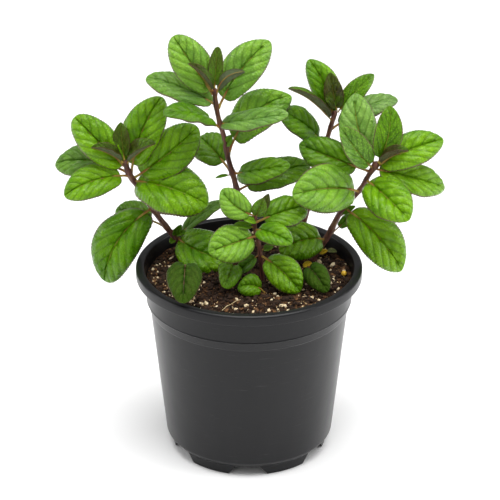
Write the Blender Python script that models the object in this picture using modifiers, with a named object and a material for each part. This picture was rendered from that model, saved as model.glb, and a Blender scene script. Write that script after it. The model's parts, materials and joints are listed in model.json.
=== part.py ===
"""A potted mint plant: a moulded nursery pot filled with potting soil, five rooted stems and their leaves.

Lengths in the tables below are millimetres, as a grower would measure them; MM turns them into metres.
+Z is up, the pot's axis is the Z axis and the bench is z = 0. The side seen first faces -Y.
"""

import math

import bmesh
import bpy
from mathutils import Vector

MM = 0.001

# Pot: the driving sizes of a 6-inch nursery pot
RIM_RADIUS = 76.0
POT_HEIGHT = 133.0
LIP_DEPTH = 7.0
LIP_WIDTH = 5.4
COLLAR_RADIUS = 68.8
COLLAR_BOTTOM = 109.0
WALL_TOP_RADIUS = 66.4
WALL_TOP = 102.5
WALL_FOOT_RADIUS = 56.6
WALL_FOOT = 10.5
FOOT_RADIUS = 52.4
FOOT_HEIGHT = 6.4
WALL = 1.4
FLOOR_TOP = 8.8
ROUND_STEPS = 64
MERGE_DISTANCE = 0.05

# The pot's drafts, roundings and slopes
LIP_DRAFT = 1.2
INNER_ROUND = 0.9
OUTER_ROUND = 1.5
HALF_ROUND = 0.3
SMALL_ROUND = 0.6
STEP_SLOPE = 0.9
TOE_SLOPE = 1.3
FOOT_DRAFT = 0.2

# Foot notches and the drain slots behind them
NOTCH_COUNT = 6
FRONT_NOTCH_AZIMUTH = -91.0
NOTCH_HEIGHT = 6.6
NOTCH_TOP_WIDTH = 16.4
NOTCH_FOOT_WIDTH = 26.6
NOTCH_DEPTH = 12.0
NOTCH_BELOW = 1.0
SLOT_SIZE = (6.0, 10.0, 4.2)

# Soil
SOIL_EDGE = 123.5
SOIL_CROWN = 125.5
SOIL_SURFACE = [(0.0, SOIL_CROWN), (30.0, 125.2), (54.0, 124.3), (68.6, SOIL_EDGE)]
GAP = 0.4

# Stems and leaves
STEM_DEPTH = 14.0
STEM_BEND = 127.0
STEM_STEPS = 3
SOCKET_RADIUS = 2.6
SOCKET_SIDES = 12
SOCKET_RISE = 8.0
LEAF_THICKNESS = 0.8
PETIOLE_WIDTH = 1.6
LEAF_ACROSS = 4
LEAF_BLADE_STEPS = 6
FIRST_STATION = 0.01
WIDEST_POWER = 0.8

SOIL_COLOUR = (0.055, 0.036, 0.024)
POT_COLOUR = (0.040, 0.039, 0.041)
STEM_COLOUR = (0.105, 0.040, 0.030)

# Each stem: its foot and top radius, then the points that it passes through, from the bend above the soil up
STEMS = {
    "left": (2.0, 1.5, [(-40, 29), (-52.5, 32, 140), (-65, 29, 160), (-75.5, 26, 179.5),
                        (-80.5, 24, 189), (-83, 22, 199.5)]),
    "tall": (2.0, 1.3, [(-1, 27), (-4, 27, 150), (-9, 26, 179.5), (-14, 24, 200), (-16.5, 22, 216),
                        (-20, 20, 230), (-22, 18, 243), (-22.5, 16, 254)]),
    "front": (1.5, 1.1, [(9, -10), (6.5, -14, 155), (3.5, -16, 168), (4.5, -18, 178)]),
    "back": (1.9, 1.2, [(32, 36), (38.5, 38, 150.5), (44.5, 38, 177.5), (52, 38, 206.5),
                        (56.5, 38, 224), (58, 38, 228.5)]),
    "right": (2.0, 1.4, [(43, 21), (53, 26, 140.5), (62, 24, 161), (73.5, 18, 178.5),
                         (80.5, 14, 194), (85.5, 12, 202.5)]),
}

# Each leaf: the height on its stem where it grows, the azimuth and rise of its line from there to its tip,
# its roll about that line, its length with the petiole, its blade's width, its petiole, its arch and bow as
# shares of the length, and the angle that each half folds up by. Angles are degrees.
LEAVES = {
    "left": {
        1: (196.0, 170, 45, -55, 45, 26, 4, 0.06, 0.02, 12),
        2: (190.0, 30, 65, 45, 54, 28, 11, 0.06, 0.05, 12),
        3: (200.5, 110, 76, -25, 25, 13, 7, 0.02, 0.01, 30),
        4: (198.5, -155, 35, -20, 26, 14, 6, 0.05, 0.00, 60),
        5: (198.0, -20, 42, 25, 26, 18, 5, 0.05, 0.00, 48),
        6: (187.5, -160, -10, -45, 44, 24, 9, 0.08, -0.06, 12),
        7: (190.5, 165, 0, -40, 49, 26, 13, 0.05, -0.07, 10),
        8: (183.0, -20, -10, 34, 51, 36, 5, 0.08, 0.01, 10),
        9: (185.5, 12, 37, 45, 54, 32, 11, 0.05, -0.05, 10),
        10: (160.0, -155, -54, -55, 58, 33, 9, 0.10, -0.12, 10),
        11: (146.5, 160, 12, -30, 34, 22, 14, 0.05, 0.00, 10),
        12: (138.0, 25, 30, 5, 39, 16, 10, 0.05, -0.04, 25),
        13: (137.0, -30, -8, 40, 44, 34, 5, 0.10, -0.10, 14),
    },
    "tall": {
        1: (250.5, 165, 55, -60, 45, 26, 7, 0.05, 0.01, 12),
        2: (240.0, 20, 50, 50, 54, 27, 13, 0.05, 0.05, 12),
        3: (255.0, 66, 79, 24, 27, 11, 5, 0.02, 0.01, 30),
        4: (253.0, -155, 54, -35, 27, 11, 5, 0.03, 0.01, 60),
        5: (251.5, -28, 42, 15, 28, 14, 5, 0.05, 0.00, 65),
        6: (242.5, 166, 17, -18, 47, 25, 5, 0.06, 0.02, 10),
        7: (225.5, -134, 28, -20, 54, 22, 13, 0.06, -0.02, 10),
        8: (206.5, 15, 40, 50, 54, 29, 14, 0.05, 0.13, 12),
        9: (227.0, -22, 17, 20, 48, 20, 3, 0.02, -0.06, 18),
        10: (190.0, 130, 24, -25, 35, 26, 12, 0.05, -0.01, 10),
        11: (189.0, -25, 20, 25, 41, 24, 7, 0.06, -0.12, 10),
        12: (176.0, 16, 14, 32, 50, 24, 11, 0.08, 0.00, 10),
    },
    "front": {
        1: (178.0, 175, 40, -60, 27, 19, 5, 0.03, 0.10, 14),
        2: (172.5, 20, 10, 35, 35, 24, 9, 0.05, 0.00, 10),
        3: (167.0, -40, 0, 30, 29, 18, 4, 0.08, 0.00, 16),
        4: (161.5, -150, -5, -50, 34, 27, 5, 0.06, 0.00, 10),
        5: (145.5, -35, -30, 45, 34, 23, 7, 0.06, 0.05, 12),
    },
    "back": {
        1: (227.0, 160, 65, -60, 39, 20, 4, 0.05, -0.07, 12),
        2: (228.0, 15, 45, 45, 34, 15, 5, 0.05, 0.00, 20),
        3: (229.5, -170, 80, -95, 27, 15, 3, 0.03, 0.01, 30),
        4: (222.5, -150, 43, -5, 44, 14, 8, 0.05, 0.03, 45),
        5: (204.0, -165, 43, -40, 40, 24, 9, 0.02, -0.08, 10),
        6: (216.0, 15, 22, 8, 47, 24, 10, 0.05, 0.00, 10),
        7: (202.0, -10, -15, 30, 29, 20, 12, 0.08, 0.00, 10),
    },
    "right": {
        1: (201.0, 130, 65, -35, 48, 26, 10, 0.05, 0.09, 12),
        2: (199.0, -170, 55, -65, 37, 18, 7, 0.05, 0.05, 25),
        3: (203.5, 45, 75, 40, 38, 20, 8, 0.04, -0.07, 20),
        4: (202.0, -30, 35, 15, 25, 14, 5, 0.04, 0.00, 60),
        5: (200.0, 10, 20, 40, 46, 26, 6, 0.06, 0.01, 12),
        6: (197.0, 9, -19, 40, 51, 25, 8, 0.08, -0.05, 12),
        7: (187.8, -51, -18, 30, 43, 30, 5, 0.07, 0.00, 12),
        8: (163.0, -20, -45, 55, 56, 30, 9, 0.08, 0.06, 12),
        9: (143.0, 25, 30, 30, 22, 9, 10, 0.04, 0.02, 10),
        10: (195.3, 168, 18.3, -54, 49, 24.6, 14, 0.06, 0.02, 10),
        11: (179.6, -141, 14, -64, 56, 29, 10, 0.05, -0.05, 12),
        12: (139.5, -150, 0, -50, 34, 28, 5, 0.08, -0.08, 10),
    },
}

# Seedling leaves that grow from the soil: the petiole's foot in X and Y, then the same sizes as above
GROUND_LEAVES = {
    1: (-43, -16, -90, 15, -5, 49, 24, 32, 0.38, -0.01, 10),
    2: (-9, -5, -105, 10, -20, 27, 17, 14, 0.40, -0.10, 10),
    3: (10, -28, -175, 15, -55, 18, 16, 5, 0.15, -0.15, 10),
    4: (40, 0, -70, 5, 30, 34, 17, 20, 0.35, 0.03, 10),
}

# Leaf colours by what each leaf is: a full-grown one, one in shade, or a young one at a stem's top
FULL_GROWN = (0.165, 0.330, 0.030)
SHADED = (0.070, 0.150, 0.020)
YOUNG = (0.085, 0.115, 0.030)
SHADED_LEAVES = {("left", 7), ("left", 11), ("left", 12), ("tall", 7), ("tall", 10), ("tall", 11),
                 ("tall", 12), ("back", 5), ("back", 6), ("back", 7), ("right", 9), ("right", 10),
                 ("front", 2)}
YOUNG_LEAVES = {("left", 3), ("left", 4), ("left", 5), ("tall", 3), ("tall", 4), ("tall", 5), ("back", 2),
                ("back", 3), ("back", 4), ("right", 2), ("right", 3), ("right", 4)}


def clear_scene():
    for obj in list(bpy.data.objects):
        bpy.data.objects.remove(obj, do_unlink=True)


def new_collection(name, helper=False):
    collection = bpy.data.collections.new(name)
    bpy.context.scene.collection.children.link(collection)
    collection.hide_render = helper
    return collection


def plain_material(name, colour, roughness):
    material = bpy.data.materials.new(name)
    material.use_nodes = True
    shader = material.node_tree.nodes["Principled BSDF"]
    shader.inputs["Base Color"].default_value = (*colour, 1.0)
    shader.inputs["Roughness"].default_value = roughness
    shader.inputs["Metallic"].default_value = 0.0
    return material


def add_object(name, data, collection, material=None):
    obj = bpy.data.objects.new(name, data)
    collection.objects.link(obj)
    if material:
        data.materials.append(material)
    return obj


def shade_smooth(mesh):
    mesh.polygons.foreach_set("use_smooth", [True] * len(mesh.polygons))


def turned(name, profile, collection, material):
    """A closed body of revolution: the profile starts and ends on the axis and goes down its outer side."""
    mesh = bpy.data.meshes.new(name)
    points = [(radius * MM, 0.0, height * MM) for radius, height in profile]
    mesh.from_pydata(points, [(i, i + 1) for i in range(len(points) - 1)], [])
    obj = add_object(name, mesh, collection, material)
    screw = obj.modifiers.new("turn", "SCREW")
    screw.axis = "Z"
    screw.steps = ROUND_STEPS
    screw.render_steps = ROUND_STEPS
    screw.use_merge_vertices = True
    screw.merge_threshold = MERGE_DISTANCE * MM
    screw.use_smooth_shade = True
    return obj


def cut(obj, cutter):
    boolean = obj.modifiers.new("cut " + cutter.name, "BOOLEAN")
    boolean.operation = "DIFFERENCE"
    boolean.solver = "EXACT"
    boolean.object = cutter
    cutter.hide_render = True
    cutter.display_type = "WIRE"


def block_cutter(name, size, place, azimuth, collection, top_width=None):
    """A box, or a trapezium narrowing to top_width, set out along an azimuth and turned to face it."""
    mesh = bpy.data.meshes.new(name)
    shape = bmesh.new()
    bmesh.ops.create_cube(shape, size=1.0)
    for corner in shape.verts:
        width = top_width if top_width and corner.co.z > 0 else size[1]
        corner.co = Vector((corner.co.x * size[0], corner.co.y * width, corner.co.z * size[2])) * MM
    shape.to_mesh(mesh)
    shape.free()
    obj = add_object(name, mesh, collection)
    turn = math.radians(azimuth)
    radius, height = place
    obj.location = (radius * math.cos(turn) * MM, radius * math.sin(turn) * MM, height * MM)
    obj.rotation_euler = (0.0, 0.0, turn)
    return obj


def build_pot(collection, cutters):
    inner_collar = COLLAR_RADIUS - WALL
    inner_wall_top = WALL_TOP_RADIUS - WALL
    inner_wall_foot = WALL_FOOT_RADIUS - WALL
    lip_inner = RIM_RADIUS - LIP_WIDTH
    lip_bottom = POT_HEIGHT - LIP_DEPTH
    profile = [
        (0.0, FLOOR_TOP),
        (inner_wall_foot - OUTER_ROUND, FLOOR_TOP),
        (inner_wall_foot, WALL_FOOT + SMALL_ROUND),
        (inner_wall_top, WALL_TOP),
        (inner_collar, COLLAR_BOTTOM),
        (lip_inner - LIP_DRAFT, lip_bottom),
        (lip_inner, POT_HEIGHT - INNER_ROUND),
        (lip_inner + INNER_ROUND, POT_HEIGHT),
        (RIM_RADIUS - OUTER_ROUND, POT_HEIGHT),
        (RIM_RADIUS - OUTER_ROUND * HALF_ROUND, POT_HEIGHT - OUTER_ROUND * HALF_ROUND),
        (RIM_RADIUS, POT_HEIGHT - OUTER_ROUND),
        (RIM_RADIUS, lip_bottom + SMALL_ROUND),
        (RIM_RADIUS - SMALL_ROUND, lip_bottom),
        (COLLAR_RADIUS + STEP_SLOPE, lip_bottom - HALF_ROUND),
        (COLLAR_RADIUS, COLLAR_BOTTOM + SMALL_ROUND),
        (COLLAR_RADIUS - SMALL_ROUND, COLLAR_BOTTOM - STEP_SLOPE),
        (WALL_TOP_RADIUS, WALL_TOP),
        (WALL_FOOT_RADIUS, WALL_FOOT),
        (WALL_FOOT_RADIUS - TOE_SLOPE, FOOT_HEIGHT + TOE_SLOPE),
        (FOOT_RADIUS + FOOT_DRAFT, FOOT_HEIGHT),
        (FOOT_RADIUS - FOOT_DRAFT, 0.0),
        (FOOT_RADIUS - FOOT_DRAFT - WALL, 0.0),
        (FOOT_RADIUS - WALL, FLOOR_TOP - WALL),
        (0.0, FLOOR_TOP - WALL),
    ]
    pot = turned("pot", profile, collection, plain_material("pot_plastic", POT_COLOUR, 0.42))
    for index in range(NOTCH_COUNT):
        azimuth = FRONT_NOTCH_AZIMUTH + index * 360.0 / NOTCH_COUNT
        slope = (NOTCH_FOOT_WIDTH - NOTCH_TOP_WIDTH) / NOTCH_HEIGHT
        notch_size = (NOTCH_DEPTH, NOTCH_FOOT_WIDTH + slope * NOTCH_BELOW, NOTCH_HEIGHT + NOTCH_BELOW)
        notch_middle = (NOTCH_HEIGHT - NOTCH_BELOW) / 2
        notch = block_cutter(f"notch_cutter_{index + 1}", notch_size, (FOOT_RADIUS, notch_middle), azimuth,
                             cutters, NOTCH_TOP_WIDTH)
        cut(pot, notch)
        slot_place = (FOOT_RADIUS - WALL - SLOT_SIZE[0], FLOOR_TOP - WALL / 2)
        slot = block_cutter(f"slot_cutter_{index + 1}", SLOT_SIZE, slot_place, azimuth, cutters)
        cut(pot, slot)
    return pot


def build_soil(collection, cutters):
    profile = [
        *SOIL_SURFACE,
        (COLLAR_RADIUS - WALL - GAP, COLLAR_BOTTOM),
        (WALL_TOP_RADIUS - WALL - GAP, WALL_TOP),
        (WALL_FOOT_RADIUS - WALL - GAP, WALL_FOOT + SMALL_ROUND),
        (WALL_FOOT_RADIUS - WALL - GAP - OUTER_ROUND, FLOOR_TOP + GAP),
        (0.0, FLOOR_TOP + GAP),
    ]
    soil = turned("soil", profile, collection, plain_material("potting_soil", SOIL_COLOUR, 0.95))
    for name, (_, _, points) in STEMS.items():
        x, y = points[0]
        mesh = bpy.data.meshes.new(f"socket_cutter_{name}")
        shape = bmesh.new()
        bmesh.ops.create_cone(shape, cap_ends=True, segments=SOCKET_SIDES, radius1=SOCKET_RADIUS * MM,
                              radius2=SOCKET_RADIUS * MM, depth=(STEM_DEPTH + GAP + SOCKET_RISE) * MM)
        shape.to_mesh(mesh)
        shape.free()
        socket = add_object(f"socket_cutter_{name}", mesh, cutters)
        socket.location = (x * MM, y * MM, (SOIL_EDGE + (SOCKET_RISE - STEM_DEPTH - GAP) / 2) * MM)
        cut(soil, socket)
    return soil


def smooth_point(before, start, end, after, share):
    """A point of the smooth curve between start and end, in line with the points before and after."""
    leave = (end - before) / 2
    arrive = (after - start) / 2
    ease = share * share * (3.0 - 2.0 * share)
    place = start.lerp(end, ease)
    place += leave * (share * (1.0 - share) ** 2)
    return place - arrive * (share * share * (1.0 - share))


def stem_path(name):
    """The stem's points from its buried foot to its top, in millimetres."""
    points = STEMS[name][2]
    x, y = points[0]
    knots = [Vector((x, y, STEM_BEND))] + [Vector(point) for point in points[1:]]
    path = [Vector((x, y, SOIL_EDGE - STEM_DEPTH)), knots[0]]
    for index in range(len(knots) - 1):
        before = knots[max(index - 1, 0)]
        after = knots[min(index + 2, len(knots) - 1)]
        start, end = knots[index], knots[index + 1]
        for step in range(1, STEM_STEPS + 1):
            path.append(smooth_point(before, start, end, after, step / STEM_STEPS))
    return path


def build_stem(name, collection):
    foot_radius, top_radius, _ = STEMS[name]
    path = stem_path(name)
    curve = bpy.data.curves.new(f"{name}_stem", "CURVE")
    curve.dimensions = "3D"
    curve.bevel_depth = foot_radius * MM
    curve.bevel_resolution = 2
    curve.use_fill_caps = True
    spline = curve.splines.new("POLY")
    spline.points.add(len(path) - 1)
    for index, point in enumerate(path):
        share = index / (len(path) - 1)
        spline.points[index].co = (*(point * MM), 1.0)
        spline.points[index].radius = 1.0 + share * (top_radius / foot_radius - 1.0)
    bark = plain_material(f"{name}_stem", STEM_COLOUR, 0.5)
    return add_object(f"{name}_stem", curve, collection, bark)


def on_stem(name, height):
    """The stem's centre and radius at a height, or beyond its top along its last stretch."""
    foot_radius, top_radius, _ = STEMS[name]
    path = stem_path(name)
    index = 1
    while index < len(path) - 2 and path[index + 1].z < height:
        index += 1
    low, high = path[index], path[index + 1]
    share = (height - low.z) / (high.z - low.z)
    along = (index + min(share, 1.0)) / (len(path) - 1)
    return low.lerp(high, share), foot_radius + along * (top_radius - foot_radius)


def leaf_axes(azimuth, rise, roll):
    """The leaf's line, the direction across its blade and its upper face's normal."""
    turn, lift, spin = (math.radians(angle) for angle in (azimuth, rise, roll))
    line = Vector((math.cos(turn) * math.cos(lift), math.sin(turn) * math.cos(lift), math.sin(lift)))
    level = Vector((-math.sin(turn), math.cos(turn), 0.0))
    upright = line.cross(level)
    across = level * math.cos(spin) + upright * math.sin(spin)
    return line, across, upright * math.cos(spin) - level * math.sin(spin)


def half_width(share, width):
    """Half the blade's width at a share of its length: a mint leaf's egg-shaped outline."""
    if not 0.0 < share < 1.0:
        return PETIOLE_WIDTH / 2
    return max(width / 2 * math.sqrt(math.sin(math.pi * share ** WIDEST_POWER)), PETIOLE_WIDTH / 2)


def build_leaf(name, start, sizes, collection, material):
    """One petiole and blade: a grid laid along an arched, bowed line, folded at its midrib and thickened."""
    azimuth, rise, roll, length, width, petiole, arch, bow, fold = sizes
    line, across, normal = leaf_axes(azimuth, rise, roll)
    blade = length - petiole
    stations = [0.0, petiole * 0.5 / length]
    for step in range(LEAF_BLADE_STEPS + 1):
        share = 0.5 - 0.5 * math.cos(math.pi * step / LEAF_BLADE_STEPS)
        stations.append((petiole + blade * max(share, FIRST_STATION)) / length)
    mesh = bpy.data.meshes.new(name)
    shape = bmesh.new()
    bmesh.ops.create_grid(shape, x_segments=LEAF_ACROSS, y_segments=len(stations) - 1, size=1.0)
    lean = math.radians(fold)
    for point in shape.verts:
        side = point.co.x
        along = stations[round((point.co.y + 1.0) / 2.0 * (len(stations) - 1))]
        half = half_width((along * length - petiole) / blade, width)
        rise_of_line = 4.0 * along * (1.0 - along) * length
        place = start + line * (along * length) + (normal * arch + across * bow) * rise_of_line
        place += across * (half * side * math.cos(lean)) + normal * (half * abs(side) * math.sin(lean))
        point.co = place * MM
    shape.to_mesh(mesh)
    shape.free()
    shade_smooth(mesh)
    leaf = add_object(name, mesh, collection, material)
    thicken = leaf.modifiers.new("thickness", "SOLIDIFY")
    thicken.thickness = LEAF_THICKNESS * MM
    thicken.offset = 0.0
    return leaf


def leaf_colour(stem, number):
    if (stem, number) in YOUNG_LEAVES:
        return YOUNG
    return SHADED if (stem, number) in SHADED_LEAVES else FULL_GROWN


def build_stem_leaves(collection):
    for stem, leaves in LEAVES.items():
        for number, (height, *sizes) in leaves.items():
            centre, radius = on_stem(stem, height)
            turn = math.radians(sizes[0])
            clear = radius + GAP + LEAF_THICKNESS / 2
            top = stem_path(stem)[-1].z
            if height > top:
                clear = 0.0
            start = centre + Vector((math.cos(turn), math.sin(turn), 0.0)) * clear
            material = plain_material(f"{stem}_leaf_{number}", leaf_colour(stem, number), 0.5)
            build_leaf(f"{stem}_leaf_{number}", start, sizes, collection, material)


def build_ground_leaves(collection):
    for number, (x, y, *sizes) in GROUND_LEAVES.items():
        start = Vector((x, y, SOIL_CROWN + 2 * GAP))
        material = plain_material(f"ground_leaf_{number}", SHADED, 0.5)
        build_leaf(f"ground_leaf_{number}", start, sizes, collection, material)


clear_scene()
plant = new_collection("potted_mint_plant")
helpers = new_collection("cutters", helper=True)
build_pot(plant, helpers)
build_soil(plant, helpers)
for stem_name in STEMS:
    build_stem(stem_name, plant)
build_stem_leaves(plant)
build_ground_leaves(plant)
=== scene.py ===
"""The looks of a potted mint plant: a moulded nursery pot, potting soil, five stems and their leaves.

Sections follow the plant as it is put together. Tables are in millimetres and degrees, and MM turns the
millimetres to metres.
"""

import math

import bpy
import numpy as np
from mathutils import Matrix, Vector
from mathutils.kdtree import KDTree
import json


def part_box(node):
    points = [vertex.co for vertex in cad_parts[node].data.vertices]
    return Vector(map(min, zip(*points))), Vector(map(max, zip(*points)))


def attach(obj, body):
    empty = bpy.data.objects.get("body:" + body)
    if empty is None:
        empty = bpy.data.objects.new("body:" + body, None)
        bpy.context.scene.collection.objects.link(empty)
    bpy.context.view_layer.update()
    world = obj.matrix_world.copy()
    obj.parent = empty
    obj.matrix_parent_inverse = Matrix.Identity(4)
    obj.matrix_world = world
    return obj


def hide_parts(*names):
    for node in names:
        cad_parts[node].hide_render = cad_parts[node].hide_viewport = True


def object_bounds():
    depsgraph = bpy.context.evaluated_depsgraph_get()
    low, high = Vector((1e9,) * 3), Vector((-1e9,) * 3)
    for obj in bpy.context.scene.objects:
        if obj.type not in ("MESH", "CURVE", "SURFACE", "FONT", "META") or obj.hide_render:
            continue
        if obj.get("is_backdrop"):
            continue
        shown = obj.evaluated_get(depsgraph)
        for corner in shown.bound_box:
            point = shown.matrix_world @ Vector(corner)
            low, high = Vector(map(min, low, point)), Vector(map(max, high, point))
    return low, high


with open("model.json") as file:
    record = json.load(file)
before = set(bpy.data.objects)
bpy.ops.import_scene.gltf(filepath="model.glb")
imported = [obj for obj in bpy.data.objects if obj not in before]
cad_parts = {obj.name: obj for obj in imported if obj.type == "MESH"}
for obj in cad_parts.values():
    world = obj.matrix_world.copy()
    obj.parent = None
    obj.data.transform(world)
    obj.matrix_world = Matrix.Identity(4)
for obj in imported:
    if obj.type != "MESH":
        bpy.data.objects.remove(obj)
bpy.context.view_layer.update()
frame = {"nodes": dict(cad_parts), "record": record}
bpy.ops.object.select_all(action="DESELECT")
MM = 0.001

# ----------------------------
# The pot: a 6-inch nursery pot, one thin injection moulding in black polypropylene. Its rolled lip stiffens
# the rim, the stepped collar lets pots stack, and six notches in the foot ring let water out on a flat bench.
# ----------------------------
POT_STEPS = 180
CORNER_STEPS = 3
CORNER_REACH = 0.45
# Radius, height and corner radius, from the floor's upper face up the inside, over the lip and down outside
POT_PROFILE = [
    (30.0, 8.8, 0.0), (53.6, 8.8, 0.0), (55.2, 11.0, 0.0), (65.0, 102.5, 1.2), (67.4, 109.0, 1.2),
    (69.4, 126.0, 0.8), (70.6, 133.0, 0.9), (74.9, 133.0, 0.6), (76.0, 132.0, 0.5), (76.0, 126.0, 0.5),
    (70.3, 125.8, 0.4), (70.0, 123.2, 0.3), (69.5, 122.6, 0.2), (68.9, 110.2, 0.3), (69.2, 109.4, 0.2),
    (68.4, 108.6, 0.2), (67.1, 103.4, 0.3), (66.5, 102.6, 0.3), (56.6, 10.4, 1.4), (52.7, 6.4, 0.5),
    (52.2, 0.0, 0.25), (50.8, 0.0, 0.25), (51.0, 7.4, 0.0), (30.0, 7.4, 0.0),
]
NOTCH_AZIMUTHS = [-91.0 + 60.0 * turn for turn in range(6)]
NOTCH_HEIGHT = 6.6
NOTCH_TOP_WIDTH = 16.4
NOTCH_FOOT_WIDTH = 28.2
NOTCH_DEPTH = 12.0
NOTCH_BELOW = 1.0
DRAIN_SLOT = (6.0, 10.0, 4.2)
DRAIN_RADIUS = 45.0
DRAIN_HEIGHT = 8.1
FOOT_RING = 52.4
CREASE_ANGLE = math.radians(35)


def rounded(profile):
    """The profile's points in millimetres, with each corner that has a radius turned into a short arc."""
    points = []
    for index, (radius, height, corner) in enumerate(profile):
        here = Vector((radius, height))
        if corner == 0.0 or index in (0, len(profile) - 1):
            points.append(here)
            continue
        before = Vector(profile[index - 1][:2]) - here
        after = Vector(profile[index + 1][:2]) - here
        start = here + before.normalized() * min(corner, before.length * CORNER_REACH)
        end = here + after.normalized() * min(corner, after.length * CORNER_REACH)
        for step in range(CORNER_STEPS + 1):
            share = step / CORNER_STEPS
            points.append(start.lerp(here, share).lerp(here.lerp(end, share), share))
    return points


def enter_edit():
    bpy.ops.object.mode_set(mode="EDIT")


def leave_edit():
    bpy.ops.object.mode_set(mode="OBJECT")


def settle(piece):
    """Moves a piece's place into its mesh, so that its object sits at the origin."""
    piece.data.transform(piece.matrix_world)
    piece.matrix_world = Matrix.Identity(4)
    piece.data.polygons.foreach_set("use_smooth", [True] * len(piece.data.polygons))


def cut_out(piece, cutter):
    """Takes the cutter's shape out of the piece, and then the cutter away."""
    boolean = piece.modifiers.new("cut", "BOOLEAN")
    boolean.operation = "DIFFERENCE"
    boolean.solver = "EXACT"
    boolean.object = cutter
    bpy.context.view_layer.objects.active = piece
    bpy.ops.object.modifier_apply(modifier=boolean.name)
    bpy.data.objects.remove(cutter, do_unlink=True)


def block(size, azimuth, radius, height, top_width=None):
    """A cutter block at a radius and height, turned to an azimuth, its top narrowed to top_width."""
    bpy.ops.mesh.primitive_cube_add(size=1.0)
    cutter = bpy.context.object
    for corner in cutter.data.vertices:
        width = top_width if top_width and corner.co.z > 0 else size[1]
        corner.co = Vector((corner.co.x * size[0], corner.co.y * width, corner.co.z * size[2])) * MM
    turn = math.radians(azimuth)
    cutter.location = Vector((radius * math.cos(turn), radius * math.sin(turn), height)) * MM
    cutter.rotation_euler = (0.0, 0.0, turn)
    bpy.context.view_layer.update()
    return cutter


def linear(code):
    """A colour's linear values from its sRGB hex code."""
    shares = [int(code[place:place + 2], 16) / 255 for place in (1, 3, 5)]
    return (*(s / 12.92 if s <= 0.04045 else ((s + 0.055) / 1.055) ** 2.4 for s in shares), 1.0)


def new_material(name, **sockets):
    """A material's node tree, its shader with constants set on its own sockets."""
    material = bpy.data.materials.new(name)
    material.use_nodes = True
    shader = material.node_tree.nodes["Principled BSDF"]
    for socket, value in sockets.items():
        shader.inputs[socket.replace("_", " ")].default_value = value
    return material, material.node_tree, shader


def feed(tree, node, inputs):
    """Sets a node's inputs: each one is a value, a node, or one of a node's outputs."""
    for socket, value in inputs.items():
        if isinstance(value, bpy.types.Node):
            value = next(output for output in value.outputs if output.enabled)
        if isinstance(value, bpy.types.NodeSocket):
            tree.links.new(value, node.inputs[socket])
        else:
            node.inputs[socket].default_value = value


def add_node(tree, kind, inputs=None, **settings):
    """Adds a shader node of a kind with its settings and inputs; every Mix node here mixes colours."""
    made = tree.nodes.new(f"ShaderNode{kind}")
    if kind == "Mix":
        made.data_type = "RGBA"
    for setting, value in settings.items():
        setattr(made, setting, value)
    feed(tree, made, inputs or {})
    return made


bpy.ops.mesh.primitive_circle_add(vertices=POT_STEPS, radius=POT_PROFILE[0][0] * MM, fill_type="NOTHING",
                                  location=(0.0, 0.0, POT_PROFILE[0][1] * MM))
pot = bpy.context.object
pot.name = "nursery_pot"
enter_edit()
pot_points = rounded(POT_PROFILE)
for low, high in zip(pot_points, pot_points[1:]):
    rise = (0.0, 0.0, (high.y - low.y) * MM)
    bpy.ops.mesh.extrude_region_move(TRANSFORM_OT_translate={"value": rise})
    bpy.ops.transform.resize(value=(high.x / low.x, high.x / low.x, 1.0))
bpy.ops.mesh.edge_face_add()
bpy.ops.mesh.select_all(action="DESELECT")
bpy.ops.mesh.select_non_manifold()
bpy.ops.mesh.edge_face_add()
bpy.ops.mesh.select_all(action="SELECT")
bpy.ops.mesh.normals_make_consistent(inside=False)
leave_edit()
settle(pot)
for notch_azimuth in NOTCH_AZIMUTHS:
    cut_out(pot, block((NOTCH_DEPTH, NOTCH_FOOT_WIDTH, NOTCH_HEIGHT + NOTCH_BELOW), notch_azimuth, FOOT_RING,
                       (NOTCH_HEIGHT - NOTCH_BELOW) / 2, NOTCH_TOP_WIDTH))
    cut_out(pot, block(DRAIN_SLOT, notch_azimuth, DRAIN_RADIUS, DRAIN_HEIGHT))
pot.select_set(True)
bpy.context.view_layer.objects.active = pot
bpy.ops.object.shade_smooth_by_angle(angle=CREASE_ANGLE)
pot.select_set(False)

# Injection-moulded polypropylene with carbon black: satin, with a spark-eroded grain, 11 mm wide flow streaks
# up the wall, shallow 17 mm sink marks and pale handling scuffs across it. The grain, 0.5 mm, is drawn
# coarser than the real 0.1 mm so that it shows.
plastic, tree, shader = new_material("moulded_polypropylene", IOR=1.49, Specular_IOR_Level=0.26)
place = add_node(tree, "TexCoord").outputs["Object"]
streaks = add_node(tree, "Mapping", {"Vector": place, "Scale": (90.0, 90.0, 7.0)})
flow = add_node(tree, "TexNoise", {"Vector": streaks, "Scale": 1.0, "Detail": 3.0})
scratch_lines = add_node(tree, "Mapping", {"Vector": place, "Scale": (60.0, 60.0, 900.0),
                                           "Rotation": (0.5, 0.2, 0.0)})
scuffs = add_node(tree, "TexNoise", {"Vector": scratch_lines, "Scale": 1.0, "Detail": 4.0,
                                     "Roughness": 0.7})
scuffed = add_node(tree, "MapRange", {"Value": scuffs, "From Min": 0.62, "From Max": 0.78, "To Max": 0.5})
black = add_node(tree, "Mix", {0: flow, 6: linear("#0e0e10"), 7: linear("#141416")})
worn = add_node(tree, "Mix", {0: scuffed, 6: black, 7: linear("#454345")})
grain = add_node(tree, "TexNoise", {"Vector": place, "Scale": 2000.0, "Detail": 2.0})
dents = add_node(tree, "TexNoise", {"Vector": place, "Scale": 60.0, "Detail": 1.0})
gloss = add_node(tree, "MapRange", {"Value": flow, "To Min": 0.26, "To Max": 0.36})
waves = add_node(tree, "Bump", {"Height": dents, "Strength": 0.25, "Distance": 0.0006})
relief = add_node(tree, "Bump", {"Height": grain, "Strength": 0.2, "Distance": 0.0001, "Normal": waves})
feed(tree, shader, {"Base Color": worn, "Roughness": gloss, "Normal": relief})
pot.data.materials.clear()
pot.data.materials.append(plastic)
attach(pot, "root")
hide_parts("pot")

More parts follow.
